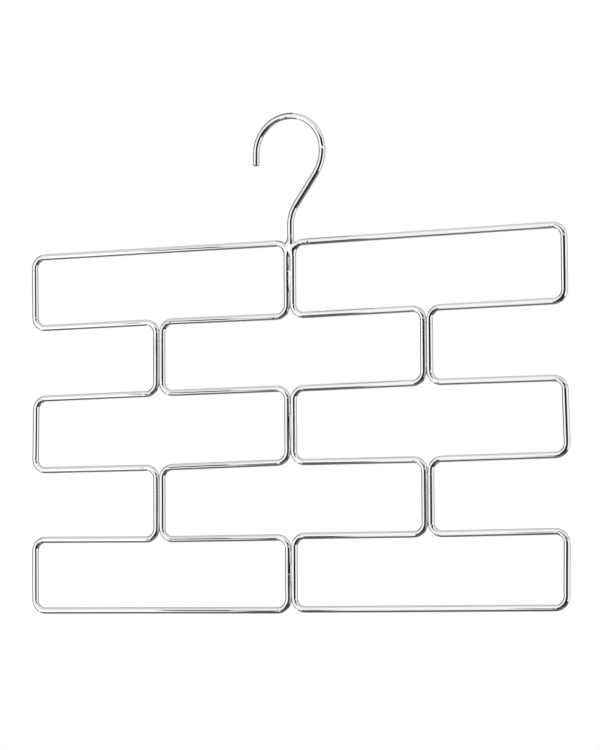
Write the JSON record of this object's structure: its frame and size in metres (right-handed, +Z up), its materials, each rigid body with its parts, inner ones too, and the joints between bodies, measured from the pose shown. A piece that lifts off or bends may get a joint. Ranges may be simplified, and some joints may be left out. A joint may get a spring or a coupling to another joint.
{
  "type": "legging hanger",
  "caption": "Flat hanger of bright chromed round wire: a plain fixed hook over a brick-like grid of open cells, whose rails hold draped leggings and trousers.",
  "frame": {"origin": "underside of the hook's crown, at the middle of the wire, where the hanger bears on a closet rod", "axes": "+X along the width, away from the side the hook opens to; +Y through the thickness, to the back; +Z up"},
  "size_m": [0.406, 0.0046, 0.3481],
  "materials": {
    "chrome_wire": "bright chrome plate on drawn steel wire",
    "chrome_weld": "chrome plate over a dressed weld, slightly uneven"
  },
  "bodies": {
    "root": {"hook_wire": "chrome_wire", "left_frame_wire": "chrome_wire", "right_frame_wire": "chrome_wire", "hook_weld": "chrome_weld", "left_butt_weld": "chrome_weld", "right_butt_weld": "chrome_weld", "centre_seam_weld_row_1": "chrome_weld", "centre_seam_weld_row_3": "chrome_weld", "centre_seam_weld_row_5": "chrome_weld", "left_neck_weld_row_2": "chrome_weld", "left_neck_weld_row_4": "chrome_weld", "right_neck_weld_row_2": "chrome_weld", "right_neck_weld_row_4": "chrome_weld"}
  },
  "joints": []
}
